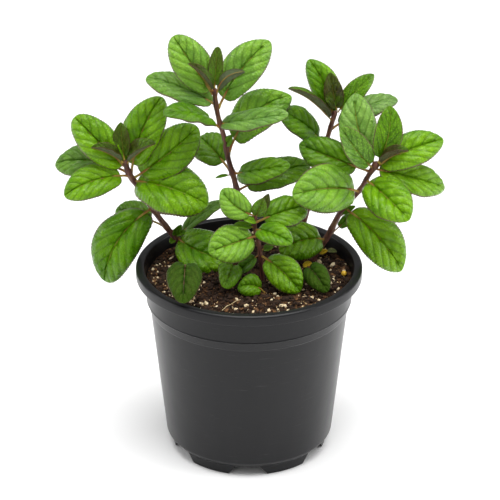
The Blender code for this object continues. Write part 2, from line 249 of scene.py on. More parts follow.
# ----------------------------
# The potting soil: milled peat and composted bark with perlite, pressed in by hand to a low crown around the
# stems. Its body fills the pot; crumbs, bark chips and perlite lie loose on top, densest against the rim.
# ----------------------------
SOIL_STEPS = 190
SOIL_RADIUS = 68.9
SOIL_CROWN = 125.3
SOIL_EDGE = 123.3
# Radius and height of the rings below the surface, down the inside of the pot
SOIL_BODY = [(67.2, 109.0), (64.6, 102.4), (54.8, 11.4), (52.6, 9.3)]
# The surface's lumps: width and height of each size
SOIL_LUMPS = [(22.0, 2.2), (7.0, 2.0), (2.6, 1.1)]
WALL_CLEARANCE = 2.0
ROUNDING = 0.75
SIZE_POWER = 2.5
STRETCHES = ((0.75, 1.5), (0.6, 1.0), (0.7, 1.3))
TIPPING = 0.5
LUMPINESS = 0.16


def apply_modifiers(piece):
    bpy.context.view_layer.objects.active = piece
    for modifier in list(piece.modifiers):
        bpy.ops.object.modifier_apply(modifier=modifier.name)


def vertex_places(mesh):
    """The mesh's vertices as an array with a row for each."""
    places = np.empty(len(mesh.vertices) * 3)
    mesh.vertices.foreach_get("co", places)
    return places.reshape(-1, 3)


bpy.ops.mesh.primitive_grid_add(x_subdivisions=SOIL_STEPS, y_subdivisions=SOIL_STEPS, size=2.0)
soil = bpy.context.object
soil.name = "potting_soil"
places = vertex_places(soil.data)
square = np.abs(places[:, :2]).max(axis=1)
round_out = square / np.maximum(np.hypot(places[:, 0], places[:, 1]), 1e-9)
places[:, :2] *= (round_out * SOIL_RADIUS * MM)[:, None]
places[:, 2] = (SOIL_CROWN - (SOIL_CROWN - SOIL_EDGE) * square ** 2) * MM
soil.data.vertices.foreach_set("co", places.ravel())
for number, (width, height) in enumerate(SOIL_LUMPS):
    lumps = bpy.data.textures.new(f"soil_lumps_{number}", "CLOUDS")
    lumps.noise_scale = width * MM
    lumps.noise_depth = 1
    displace = soil.modifiers.new("lumps", "DISPLACE")
    displace.texture = lumps
    displace.direction = "Z"
    displace.strength = height * MM
    displace.mid_level = 0.5
apply_modifiers(soil)
soil_places = vertex_places(soil.data)
soil_finder = KDTree(len(soil_places))
for index, point in enumerate(soil_places):
    soil_finder.insert((point[0], point[1], 0.0), index)
soil_finder.balance()
enter_edit()
bpy.ops.mesh.select_all(action="DESELECT")
bpy.ops.mesh.select_non_manifold()
radius_now, height_now = SOIL_RADIUS, SOIL_EDGE
for radius, height in SOIL_BODY:
    bpy.ops.mesh.extrude_region_move(TRANSFORM_OT_translate={"value": (0.0, 0.0, (height - height_now) * MM)})
    bpy.ops.transform.resize(value=(radius / radius_now, radius / radius_now, 1.0))
    radius_now, height_now = radius, height
bpy.ops.transform.resize(value=(1.0, 1.0, 0.0))
bpy.ops.mesh.edge_face_add()
bpy.ops.mesh.select_all(action="SELECT")
bpy.ops.mesh.normals_make_consistent(inside=False)
leave_edit()
settle(soil)

# Moist peat: nearly black in the hollows between its clods and brown on their tops, its colour following their
# relief. Its clods are 6 mm across and its crumbs 1.4 mm, one in four of them a paler chip.
peat, tree, shader = new_material("moist_peat", IOR=1.4, Specular_IOR_Level=0.25, Roughness=0.92)
place = add_node(tree, "TexCoord").outputs["Object"]
clods = add_node(tree, "TexNoise", {"Vector": place, "Scale": 160.0, "Detail": 5.0, "Roughness": 0.7})
# The colour follows the clods' height: low places are drawn nearly black, high ones brown.
clod_tops = add_node(tree, "MapRange", {"Value": clods, "From Min": 0.45, "From Max": 0.68})
crumbs = add_node(tree, "TexVoronoi", {"Vector": place, "Scale": 700.0})
dark = add_node(tree, "Mix", {0: clod_tops, 6: linear("#150c06"), 7: linear("#452c18")})
chips = add_node(tree, "MapRange", {"Value": crumbs.outputs["Color"], "From Min": 0.72, "From Max": 0.8,
                                    "To Max": 0.6})
flecked = add_node(tree, "Mix", {0: chips, 6: dark, 7: linear("#6a4a2e")})
relief = add_node(tree, "Bump", {"Height": clods, "Strength": 0.8, "Distance": 0.0015})
feed(tree, shader, {"Base Color": flecked, "Normal": relief})
soil.data.materials.append(peat)
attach(soil, "root")
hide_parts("soil")


def grain_material(name, dark_code, light_code, grain_mm, roughness):
    """A dry loose grain: two shades of its colour in patches of a real size, and a pitted surface."""
    material, tree, shader = new_material(name, Roughness=roughness, Specular_IOR_Level=0.3)
    place = add_node(tree, "TexCoord").outputs["Object"]
    patches = add_node(tree, "TexNoise", {"Vector": place, "Scale": 1.0 / (grain_mm * MM), "Detail": 3.0})
    contrast = add_node(tree, "MapRange", {"Value": patches, "From Min": 0.35, "From Max": 0.65})
    shades = add_node(tree, "Mix", {0: contrast, 6: linear(dark_code), 7: linear(light_code)})
    pits = add_node(tree, "Bump", {"Height": patches, "Strength": 0.7, "Distance": 0.0004})
    feed(tree, shader, {"Base Color": shades, "Normal": pits})
    return material


def add_object(name, data):
    made = bpy.data.objects.new(name, data)
    bpy.context.scene.collection.objects.link(made)
    return made


def scatter_grains(name, count, smallest, largest, flatness, hug_rim, sink, material, seed):
    """Grains lying on the soil as one piece: sizes in millimetres, hug_rim above 0 draws them to the rim."""
    bpy.ops.mesh.primitive_cube_add(size=1.0)
    first = bpy.context.object
    enter_edit()
    bpy.ops.mesh.subdivide(number_cuts=1)
    bpy.ops.transform.tosphere(value=ROUNDING)
    leave_edit()
    shape = vertex_places(first.data)
    faces = np.array([polygon.vertices[:] for polygon in first.data.polygons])
    bpy.data.objects.remove(first, do_unlink=True)
    draw = np.random.default_rng(seed)
    points, quads = [], []
    for number in range(count):
        share = draw.random() ** (0.5 / (1.0 + hug_rim))
        azimuth = draw.uniform(0.0, 2.0 * math.pi)
        reach = share * (SOIL_RADIUS - WALL_CLEARANCE) * MM
        spot = Vector((math.cos(azimuth), math.sin(azimuth), 0.0)) * reach
        size = (smallest + (largest - smallest) * draw.random() ** SIZE_POWER) * MM
        ground = soil_places[soil_finder.find(spot)[1]][2]
        turn = Matrix.Rotation(draw.uniform(0.0, 2.0 * math.pi), 3, "Z")
        tip = Matrix.Rotation(draw.normal(0.0, TIPPING), 3, "X")
        stretch = np.array([draw.uniform(*ends) for ends in STRETCHES]) * (1.0, 1.0, flatness)
        lumpy = shape * (1.0 + draw.normal(0.0, LUMPINESS, len(shape)))[:, None] * stretch * size
        lumpy = lumpy @ np.array(turn @ tip).T + np.array(spot)
        lumpy[:, 2] += ground + size * flatness * (0.5 - sink)
        quads.append(faces + number * len(shape))
        points.append(lumpy)
    mesh = bpy.data.meshes.new(name)
    mesh.from_pydata(np.concatenate(points).tolist(), [], np.concatenate(quads).tolist())
    piece = add_object(name, mesh)
    mesh.materials.append(material)
    settle(piece)
    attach(piece, "root")
    return piece


scatter_grains("peat_crumbs", 2400, 0.6, 3.2, 0.8, 0.0, 0.2,
               grain_material("crumbled_peat", "#150d08", "#3c281a", 1.2, 0.95), 11)
scatter_grains("bark_chips", 420, 0.8, 3.8, 0.35, 0.4, 0.1,
               grain_material("composted_bark", "#3a2413", "#74502f", 1.5, 0.85), 12)
scatter_grains("perlite", 330, 0.5, 3.2, 0.85, 0.8, 0.3,
               grain_material("expanded_perlite", "#b09468", "#f0e2c0", 0.9, 0.8), 13)
scatter_grains("perlite_dust", 900, 0.3, 1.0, 0.8, 0.6, 0.2,
               grain_material("perlite_dust", "#8f7048", "#d8b988", 0.6, 0.85), 14)

# ----------------------------
# The stems: a mint stem is four-sided with rounded corners, a little swollen at each node where a pair of
# leaves grows, woody purple-brown, and rooted in the soil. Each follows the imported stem's own centre line.
# ----------------------------
STEM_NAMES = ("left", "tall", "front", "back", "right")
STEM_RING = 1.2
STEM_SIDES = 20
SQUARENESS = 0.09
NODE_SWELLING = 0.17
NODE_LENGTH = 2.4
STEM_ENDS = (0.2, 0.4)
TIP_TAPER = (0.85, 0.55)


def packed_triangles(node):
    """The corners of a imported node's triangles, in metres."""
    mesh = frame["nodes"][node].data
    mesh.calc_loop_triangles()
    corners = np.empty(len(mesh.loop_triangles) * 3, np.int32)
    mesh.loop_triangles.foreach_get("vertices", corners)
    return vertex_places(mesh)[corners].reshape(-1, 3, 3)


def section(triangles, origin, direction):
    """The points where the triangles' edges cross a plane."""
    beyond = (triangles - origin) @ direction
    found = []
    for a, b in ((0, 1), (1, 2), (2, 0)):
        crossing = beyond[:, a] * beyond[:, b] < 0.0
        share = beyond[crossing, a] / (beyond[crossing, a] - beyond[crossing, b])
        start, end = triangles[crossing, a], triangles[crossing, b]
        found.append(start + (end - start) * share[:, None])
    return np.concatenate(found)


def middle(points):
    return (points.min(axis=0) + points.max(axis=0)) / 2


def tube(name, path, radii, profile):
    """A closed rod along a path: a curve that sweeps the profile, made a mesh."""
    curve = bpy.data.curves.new(name, "CURVE")
    curve.dimensions = "3D"
    curve.bevel_mode = "OBJECT"
    curve.bevel_object = profile
    curve.use_fill_caps = True
    spline = curve.splines.new("POLY")
    spline.points.add(len(path) - 1)
    for knot, place, radius in zip(spline.points, path, radii):
        knot.co = (*place, 1.0)
        knot.radius = radius
    rod = add_object(name, curve)
    rod.select_set(True)
    bpy.context.view_layer.objects.active = rod
    bpy.ops.object.convert(target="MESH")
    rod = bpy.context.object
    enter_edit()
    bpy.ops.mesh.select_all(action="SELECT")
    bpy.ops.mesh.remove_doubles(threshold=0.00001)
    bpy.ops.mesh.normals_make_consistent(inside=False)
    leave_edit()
    rod.select_set(False)
    settle(rod)
    return rod


def ring_profile(name, sides, squareness):
    """A closed curve of radius 1 that a rod is swept with: round, or four-sided with rounded corners."""
    curve = bpy.data.curves.new(name, "CURVE")
    curve.dimensions = "2D"
    spline = curve.splines.new("POLY")
    spline.points.add(sides - 1)
    spline.use_cyclic_u = True
    for number, knot in enumerate(spline.points):
        turn = 2.0 * math.pi * number / sides
        reach = 1.0 + squareness * math.cos(4.0 * turn)
        knot.co = (reach * math.cos(turn), reach * math.sin(turn), 0.0, 1.0)
    ring = add_object(name, curve)
    ring.hide_render = True
    return ring


# Young lignified bark: purple-brown with paler blotches of 8 mm, fine lengthwise ridges 0.9 mm apart, satin.
bark, tree, shader = new_material("stem_bark", IOR=1.45, Specular_IOR_Level=0.45)
place = add_node(tree, "TexCoord").outputs["Object"]
lengthwise = add_node(tree, "Mapping", {"Vector": place, "Scale": (1100.0, 1100.0, 120.0)})
ridges = add_node(tree, "TexNoise", {"Vector": lengthwise, "Scale": 1.0, "Detail": 3.0})
contrast = add_node(tree, "MapRange", {"Value": ridges, "From Min": 0.35, "From Max": 0.68})
blotches = add_node(tree, "TexNoise", {"Vector": place, "Scale": 130.0, "Detail": 2.0})
purple = add_node(tree, "Mix", {0: contrast, 6: linear("#3a1f20"), 7: linear("#6d4133")})
skin = add_node(tree, "Mix", {0: add_node(tree, "MapRange", {"Value": blotches, "From Min": 0.5,
                                                             "From Max": 0.75, "To Max": 0.7}), 6: purple,
                              7: linear("#7d5a3c")})
gloss = add_node(tree, "MapRange", {"Value": ridges, "To Min": 0.38, "To Max": 0.6})
relief = add_node(tree, "Bump", {"Height": ridges, "Strength": 0.5, "Distance": 0.0004})
feed(tree, shader, {"Base Color": skin, "Roughness": gloss, "Normal": relief})

leaf_names = sorted(name for name in frame["nodes"] if "_leaf_" in name)
stem_lines = {}
square_ring = ring_profile("stem_profile", STEM_SIDES, SQUARENESS)
for stem_name in STEM_NAMES:
    triangles = packed_triangles(f"{stem_name}_stem")
    low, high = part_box(f"{stem_name}_stem")
    leaf_starts = []
    for leaf_name in leaf_names:
        if leaf_name.startswith(stem_name):
            leaf_points = packed_triangles(leaf_name).reshape(-1, 3)
            stem_points = triangles.reshape(1, -1, 3)[:, ::3]
            away = np.linalg.norm(leaf_points[:, None] - stem_points, axis=2).min(axis=1)
            leaf_starts.append(leaf_points[away.argmin()][2])
    heights = np.linspace(low.z + STEM_ENDS[0] * MM, high.z - STEM_ENDS[1] * MM,
                          int((high.z - low.z) / (STEM_RING * MM)))
    rings = [section(triangles, np.array((0.0, 0.0, z)), np.array((0.0, 0.0, 1.0))) for z in heights]
    line = np.array([middle(ring) for ring in rings])
    for _ in range(3):
        line[1:-1] = (line[:-2] + 2.0 * line[1:-1] + line[2:]) / 4.0
    along = np.gradient(line, axis=0)
    along /= np.linalg.norm(along, axis=1)[:, None]
    level = np.cross(along, (0.0, 0.0, 1.0)) + np.array((1e-9, 0.0, 0.0))
    level /= np.linalg.norm(level, axis=1)[:, None]
    radii = np.array([np.abs((ring - spot) @ side).max() for ring, spot, side in zip(rings, line, level)])
    radii = np.convolve(np.pad(radii, 3, "edge"), np.ones(7) / 7, "valid")
    for start in leaf_starts:
        radii = radii * (1.0 + NODE_SWELLING * np.exp(-((heights - start) / (NODE_LENGTH * MM)) ** 2))
    radii[-2:] *= TIP_TAPER
    stem = tube(f"{stem_name}_mint_stem", line, radii, square_ring)
    stem.data.materials.append(bark)
    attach(stem, "root")
    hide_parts(f"{stem_name}_stem")
    stem_lines[stem_name] = (line, radii)
bpy.data.objects.remove(square_ring, do_unlink=True)

# ----------------------------
# The leaves: a thin egg-shaped blade on a short petiole. Five pairs of side veins are sunk in the upper face
# and the blade is quilted up between them; the margin has small round teeth with a purple edge. Each blade
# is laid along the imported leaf's own line, width and fold, so it grows where that leaf does.
# ----------------------------
# Depths, widths, lengths and radii are in millimetres. The rest are shares of a blade's length or half width,
# or powers of its curves. The side veins come first, then the outline, the relief and the mesh's own steps.
BLADE_THICKNESS = 0.38
PETIOLE_RADIUS = 0.85
FIRST_VEIN = 0.03
VEIN_SPACING = 0.2
VEIN_SWEEP = 1.0
VEIN_BEND = 1.25
LAST_VEIN = -0.5
BASE_LOBE = 0.10
LOBE_LENGTH = 0.14
TOOTH_LENGTH = 1.9
TOOTH_DEPTH = 0.034
WIDEST_POWER = 0.88
OUTLINE_POWER = 0.42
CURL_START = 0.55
CROWN_FALL = 1.35
END_ZONE = 0.8
CREASE_ZONE = 0.12
BLADE_STARTS = 0.27
MIDRIB_ROUND = 0.006
MIDRIB_LEVEL = 0.077
PUFF_POWER = 0.42
WRINKLE_DEPTH = 0.22
WRINKLES = 21.0
WRINKLE_SLANT = 2.1
RIB_FADE = 0.10
TIP_FADE = 0.12
BASE_FADE = 0.05
MIDRIB_DEPTH = 0.9
MIDRIB_WIDTH = 0.55
MIDRIB_FADE = 0.3
LEAF_WIDTH = 26.0
ROWS_PER_MM = 2.8
ROW_LIMITS = (36, 110)
COLUMNS_PER_MM = 1.4
COLUMN_LIMITS = (14, 36)
PETIOLE_FOOT = -0.03
RIB_END = 0.95
RIB_TAPER = 0.82


def measure_leaf(node):
    """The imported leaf's start, line, length, width, petiole share, arch, bow and fold, and its directions."""
    triangles = packed_triangles(node)
    points = np.unique(np.round(triangles.reshape(-1, 3), 7), axis=0)
    gaps = np.linalg.norm(points[:, None] - points[None], axis=2)
    ends = [points[index] for index in np.unravel_index(gaps.argmax(), gaps.shape)]
    stem_name = node.split("_")[0]
    if stem_name in stem_lines:
        ends.sort(key=lambda end: np.linalg.norm(stem_lines[stem_name][0] - end, axis=1).min())
    else:
        ends.sort(key=lambda end: end[2])
    start, tip = ends
    for _ in range(2):
        line = (tip - start) / np.linalg.norm(tip - start)
        reach = (points - start) @ line
        start = points[reach < reach.min() + END_ZONE * MM].mean(axis=0)
        tip = points[reach > reach.max() - END_ZONE * MM].mean(axis=0)
    length = np.linalg.norm(tip - start)
    line = (tip - start) / length
    shares = np.linspace(0.02, 0.98, 49)
    cuts = [section(triangles, start + line * length * share, line) for share in shares]
    spans = []
    for ring in cuts:
        far = np.linalg.norm(ring[:, None] - ring[None], axis=2)
        spans.append((far.max(), [ring[index] for index in np.unravel_index(far.argmax(), far.shape)]))
    widest = max(range(len(cuts)), key=lambda index: spans[index][0])
    left, right = spans[widest][1]
    across = (right - left) / np.linalg.norm(right - left)
    centre = (left + right) / 2
    near = np.abs((cuts[widest] - centre) @ across) < CREASE_ZONE * spans[widest][0]
    upward = centre - cuts[widest][near].mean(axis=0)
    upward -= line * (upward @ line) + across * (upward @ across)
    fold = math.atan2(np.linalg.norm(upward), spans[widest][0] / 2)
    upward /= np.linalg.norm(upward)
    across = np.cross(upward, line)
    across /= np.linalg.norm(across)
    upward = np.cross(line, across)
    widths = np.array([(ring @ across).max() - (ring @ across).min() for ring in cuts])
    petiole = shares[np.argmax(widths >= BLADE_STARTS * widths.max())]
    bends, arches, bows = [], [], []
    for share, ring, width in zip(shares, cuts, widths):
        side = (ring - start) @ across
        near = np.abs(side - (side.min() + side.max()) / 2) < CREASE_ZONE * width + 0.15 * MM
        crease = ring[near].mean(axis=0) - start
        bends.append(4.0 * share * (1.0 - share) * length)
        arches.append(crease @ upward)
        bows.append(crease @ across)
    bends = np.array(bends)
    return {
        "start": start, "line": line, "across": across, "upward": upward, "length": length,
        "width": widths.max() / math.cos(fold), "petiole": petiole, "fold": fold,
        "arch": bends @ np.array(arches) / (bends @ bends), "bow": bends @ np.array(bows) / (bends @ bends),
    }


def centre_line(leaf, share):
    """Points of the leaf's own line at shares of its whole length, petiole and blade."""
    bend = (4.0 * share * (1.0 - share) * leaf["length"])[:, None]
    bent = leaf["upward"] * leaf["arch"] + leaf["across"] * leaf["bow"]
    curl = (leaf["length"] * leaf["curl"] * np.maximum(share - CURL_START, 0.0) ** 2)[:, None]
    straight = leaf["start"] + np.outer(share * leaf["length"], leaf["line"])
    return straight + bend * bent - curl * leaf["upward"]


def half_width(leaf, along):
    """Half the blade's width at shares of its length, its teeth included."""
    power = OUTLINE_POWER + leaf["taper"] * along ** 2
    outline = np.sin(math.pi * np.clip(along, 0.0, 1.0) ** WIDEST_POWER).clip(0.0) ** power
    blade = leaf["length"] * (1.0 - leaf["petiole"])
    teeth = np.abs(np.sin(math.pi * along * round(blade / (TOOTH_LENGTH * MM)))) - 0.6
    return np.maximum(leaf["width"] / 2 * (outline + TOOTH_DEPTH * teeth * np.minimum(outline * 1.5, 1.0)),
                      PETIOLE_RADIUS * MM * 0.6)


def blade_surface(leaf, side, along):
    """The blade's plain surface: folded at the midrib, each half crowned, its edge turned down and waved."""
    out = np.abs(side)
    lobed = along - leaf["lobe"] * out ** 2 * np.exp(-(along / LOBE_LENGTH) ** 2)
    centre = centre_line(leaf, leaf["petiole"] + (1.0 - leaf["petiole"]) * lobed)
    half = half_width(leaf, along)
    lift = math.sin(leaf["fold"]) * (np.sqrt(out ** 2 + MIDRIB_ROUND) - MIDRIB_LEVEL)
    lift = lift + leaf["crown"] * (out - CROWN_FALL * out ** 3)
    turns = along * leaf["waves"] + leaf["phase"]
    lift = lift + leaf["wave"] * out ** 3 * np.sin(2.0 * math.pi * turns + side)
    spread = np.outer(half * side * math.cos(leaf["fold"]), leaf["across"])
    return centre + spread + np.outer(half * lift, leaf["upward"])


def vein_place(side, along):
    """The side vein that a point is nearest, a whole number where the vein runs; veins sweep to the tip."""
    sweep = VEIN_SWEEP * np.abs(side) ** VEIN_BEND * np.sqrt(np.clip(along * (1.0 - along), 0.0, 1.0))
    return np.maximum((along - sweep - FIRST_VEIN) / VEIN_SPACING, LAST_VEIN)


def quilting(leaf, side, along):
    """How far the face stands off the plain surface: sunk at the veins, puffed up between them."""
    out = np.abs(side)
    number = vein_place(side, along)
    fade = (1.0 - out ** 5) * np.clip(out / RIB_FADE, 0.0, 1.0) * np.clip((1.0 - along) / TIP_FADE, 0.0, 1.0)
    fade = fade * np.clip(along / BASE_FADE, 0.0, 1.0)
    between = np.abs(np.sin(math.pi * number)) ** PUFF_POWER
    shift = number * WRINKLE_SLANT + leaf["phase"] * 9.0
    cross = np.sin(out * WRINKLES + shift) * np.sin(math.pi * number)
    lateral = (between + WRINKLE_DEPTH * cross) * fade * leaf["quilt"]
    away = side * half_width(leaf, along) / MM
    midrib = MIDRIB_DEPTH * np.exp(-(away / MIDRIB_WIDTH) ** 2) * leaf["quilt"]
    return (lateral - midrib * np.clip((1.0 - along) / MIDRIB_FADE, 0.0, 1.0)) * MM


def build_blade(name, leaf):
    """The blade: a grid laid over the leaf's surface and given its thickness, the underside a second slot."""
    rows = int(np.clip(leaf["length"] * (1.0 - leaf["petiole"]) / MM * ROWS_PER_MM, *ROW_LIMITS))
    columns = int(np.clip(leaf["width"] / MM * COLUMNS_PER_MM, *COLUMN_LIMITS)) // 2 * 2
    bpy.ops.mesh.primitive_grid_add(x_subdivisions=columns, y_subdivisions=rows, size=2.0, calc_uvs=True)
    blade = bpy.context.object
    blade.name = name
    flat = vertex_places(blade.data)
    side = -flat[:, 0]
    along = 0.5 - 0.5 * np.cos(math.pi * (flat[:, 1] + 1.0) / 2.0)
    step = 0.004
    here = blade_surface(leaf, side, along)
    to_side = blade_surface(leaf, side + step, along) - blade_surface(leaf, side - step, along)
    onward = blade_surface(leaf, side, np.clip(along + step, 0.0, 1.0))
    onward = onward - blade_surface(leaf, side, np.clip(along - step, 0.0, 1.0))
    normal = np.cross(onward, to_side)
    normal /= np.maximum(np.linalg.norm(normal, axis=1), 1e-12)[:, None]
    shaped = here + normal * quilting(leaf, side, along)[:, None]
    blade.data.vertices.foreach_set("co", shaped.ravel())
    corners = np.empty(len(blade.data.loops), np.int32)
    blade.data.loops.foreach_get("vertex_index", corners)
    lay = np.stack([side[corners] * 0.5 + 0.5, along[corners]], axis=1)
    blade.data.uv_layers[0].name = "blade"
    blade.data.uv_layers[0].data.foreach_set("uv", lay.ravel())
    solid = blade.modifiers.new("thickness", "SOLIDIFY")
    solid.thickness = BLADE_THICKNESS * MM
    solid.offset = 0.0
    solid.material_offset = 1
    for material in leaf["finish"]:
        blade.data.materials.append(material)
    apply_modifiers(blade)
    # Each blade carries its tone and its share of painted sheen.
    for quality in ("tone", "painted_sheen"):
        layer = blade.data.attributes.new(quality, "FLOAT", "POINT")
        layer.data.foreach_set("value", np.full(len(blade.data.vertices), leaf[quality], np.float32))
    return blade


def build_petiole(name, leaf, profile):
    """The petiole from inside the stem to the blade, going on as the midrib that stands out underneath."""
    shares = np.concatenate([np.linspace(PETIOLE_FOOT, leaf["petiole"], 9),
                             np.linspace(leaf["petiole"], RIB_END, 22)[1:]])
    path = centre_line(leaf, shares)
    blade_share = np.clip((shares - leaf["petiole"]) / (1.0 - leaf["petiole"]), 0.0, 1.0)
    sunk = (0.10 + 0.75 * np.clip(blade_share * 12.0, 0.0, 1.0)) * MM * leaf["stoutness"]
    path = path - sunk[:, None] * leaf["upward"]
    radii = PETIOLE_RADIUS * MM * leaf["stoutness"] * (1.0 - RIB_TAPER * blade_share ** 0.7)
    radii[:2] *= 1.25
    return tube(name, path, radii, profile)


def leaf_materials(name, dark, green, light, rib, under, pale, blush, roughness, crinkle):
    """A leaf's upper face and underside. UV x runs across the blade and y along it, as the veins do.

    The net of the finest veins is drawn with meshes of 1 to 1.5 mm, coarser than the real 0.5 mm, to show.
    On the upper face, painted shade darkens the side veins, the hollows along them and the creases of this net.
    """
    made = []
    for face in ("upper", "under"):
        upper = face == "upper"
        waxy = upper and roughness < 0.45
        material, tree, shader = new_material(
            f"{name}_{face}", IOR=1.42, Specular_IOR_Level=0.5 if upper else 0.25,
            Specular_Tint=linear("#e6ff78"), Subsurface_Weight=0.12, Subsurface_Scale=0.001,
            Subsurface_Radius=(0.5, 1.0, 0.15), Coat_Weight=0.4 if waxy else 0.0, Coat_Roughness=0.26,
            Coat_IOR=1.4)
        flat = add_node(tree, "UVMap", uv_map="blade")
        split = add_node(tree, "SeparateXYZ", {"Vector": flat})
        along = split.outputs["Y"]
        side = add_node(tree, "Math", {0: split.outputs["X"], 1: 2.0, 2: -1.0}, operation="MULTIPLY_ADD")
        out = add_node(tree, "Math", {0: side}, operation="ABSOLUTE")
        bent = add_node(tree, "Math", {0: out, 1: VEIN_BEND}, operation="POWER")
        squared = add_node(tree, "Math", {0: along, 1: along}, operation="MULTIPLY")
        rest = add_node(tree, "Math", {0: along, 1: squared}, operation="SUBTRACT", use_clamp=True)
        root = add_node(tree, "Math", {0: rest}, operation="SQRT")
        sweep = add_node(tree, "Math", {0: bent, 1: root}, operation="MULTIPLY")
        start = add_node(tree, "Math", {0: sweep, 1: -VEIN_SWEEP, 2: along}, operation="MULTIPLY_ADD")
        counted = add_node(tree, "Math", {0: start, 1: 1.0 / VEIN_SPACING, 2: -FIRST_VEIN / VEIN_SPACING},
                           operation="MULTIPLY_ADD")
        number = add_node(tree, "Math", {0: counted, 1: LAST_VEIN}, operation="MAXIMUM")
        to_vein = add_node(tree, "Math", {0: number, 1: 0.5}, operation="PINGPONG")
        vein = add_node(tree, "MapRange", {"Value": to_vein, "From Min": 0.055, "From Max": 0.01},
                        interpolation_type="SMOOTHSTEP")
        crest = add_node(tree, "MapRange", {"Value": to_vein, "From Min": 0.0, "From Max": 0.26},
                         interpolation_type="SMOOTHSTEP")
        midrib = add_node(tree, "MapRange", {"Value": out, "From Min": 0.05, "From Max": 0.015},
                          interpolation_type="SMOOTHSTEP")
        margin = add_node(tree, "MapRange", {"Value": out, "From Min": 0.93, "From Max": 0.965})
        per_blade = (24.0 - 16.0 * crinkle, 34.0 - 22.0 * crinkle, 1.0)
        meshes = add_node(tree, "Mapping", {"Vector": flat, "Scale": per_blade})
        cells = add_node(tree, "TexVoronoi", {"Vector": meshes, "Scale": 1.0}, feature="DISTANCE_TO_EDGE")
        network = add_node(tree, "MapRange", {"Value": cells, "From Min": 0.0, "From Max": 0.25})
        place = add_node(tree, "TexCoord").outputs["Object"]
        mottle = add_node(tree, "TexNoise", {"Vector": place, "Scale": 160.0, "Detail": 3.0})
        mottled = add_node(tree, "MapRange", {"Value": mottle, "From Min": 0.35, "From Max": 0.65})
        clouds = add_node(tree, "TexNoise", {"Vector": place, "Scale": 55.0, "Detail": 2.0})
        clouded = add_node(tree, "MapRange", {"Value": clouds, "From Min": 0.35, "From Max": 0.65,
                                              "To Min": -0.45, "To Max": 0.45})
        tone = add_node(tree, "Attribute", attribute_name="tone").outputs["Fac"]
        painted_sheen = add_node(tree, "Attribute", attribute_name="painted_sheen").outputs["Fac"]
        if upper:
            # Each leaf's tone is partly its own colour and partly painted light: leaves that the light falls on
            # are set brighter.
            lit = add_node(tree, "Math", {0: tone, 1: clouded}, operation="ADD", use_clamp=True)
            green_now = add_node(tree, "Mix", {0: lit, 6: linear(green), 7: linear(light)})
            # Painted sheen: the listed leaves' colour is paled towards grey-green, standing for the light they
            # reflect.
            ground = add_node(tree, "Mix", {0: painted_sheen, 6: green_now, 7: linear("#8aa870")})
            # Painted shade: the ground colour is darkened towards each sunk side vein and stays full on the
            # crests between.
            hollow_shade = add_node(tree, "Mix", {0: 0.3, 6: ground, 7: linear(dark)})
            crests_and_shaded_hollows = add_node(tree, "Mix", {0: crest, 6: hollow_shade, 7: ground})
            # Painted shade in the creases of the fine vein net: the edges of its meshes take the dark hollow
            # colour.
            net_shaded = add_node(tree, "Mix", {0: network, 6: linear(dark), 7: crests_and_shaded_hollows})
            crinkled = add_node(tree, "Mix", {0: crinkle, 6: crests_and_shaded_hollows, 7: net_shaded})
            patches = add_node(tree, "Math", {0: mottled, 1: 0.35}, operation="MULTIPLY")
            patched = add_node(tree, "Mix", {0: patches, 6: crinkled, 7: linear(green)})
            # Painted shade: a thin dark line is drawn along each sunk side vein; underneath, the same mask
            # draws the veins pale, their own colour.
            vein_shade_and_colour = add_node(tree, "Math", {0: vein, 1: 0.28}, operation="MULTIPLY")
            vein_shaded_and_coloured = add_node(tree, "Mix", {0: vein_shade_and_colour, 6: patched, 7: linear(dark)})
        else:
            patches = add_node(tree, "Math", {0: mottled, 1: 0.3, 2: tone}, operation="MULTIPLY_ADD",
                               use_clamp=True)
            ground = add_node(tree, "Mix", {0: patches, 6: linear(under), 7: linear(pale)})
            vein_shade_and_colour = add_node(tree, "Math", {0: vein, 1: 0.5}, operation="MULTIPLY")
            vein_shaded_and_coloured = add_node(tree, "Mix", {0: vein_shade_and_colour, 6: ground, 7: linear(pale)})
        near_base = add_node(tree, "MapRange", {"Value": along, "From Min": 0.5, "From Max": 0.1})
        rib_colour = add_node(tree, "Mix", {0: near_base, 6: linear(rib), 7: linear("#8c7a2c")})
        rib_share = add_node(tree, "Math", {0: midrib, 1: 0.85}, operation="MULTIPLY")
        ribbed = add_node(tree, "Mix", {0: rib_share, 6: vein_shaded_and_coloured, 7: rib_colour})
        edged = add_node(tree, "Mix", {0: margin, 6: ribbed, 7: linear(blush)})
        gloss = add_node(tree, "MapRange", {"Value": mottle, "To Min": roughness - 0.06,
                                            "To Max": roughness + 0.12})
        puffed = add_node(tree, "Bump", {"Height": crest, "Strength": 0.2, "Distance": 0.0005})
        fine = add_node(tree, "Bump", {"Height": network, "Normal": puffed, "Strength": 0.3 + 0.5 * crinkle,
                                       "Distance": 0.0004 + 0.0006 * crinkle})
        feed(tree, shader, {"Base Color": edged, "Roughness": gloss, "Normal": fine})
        made.append(material)
    return made


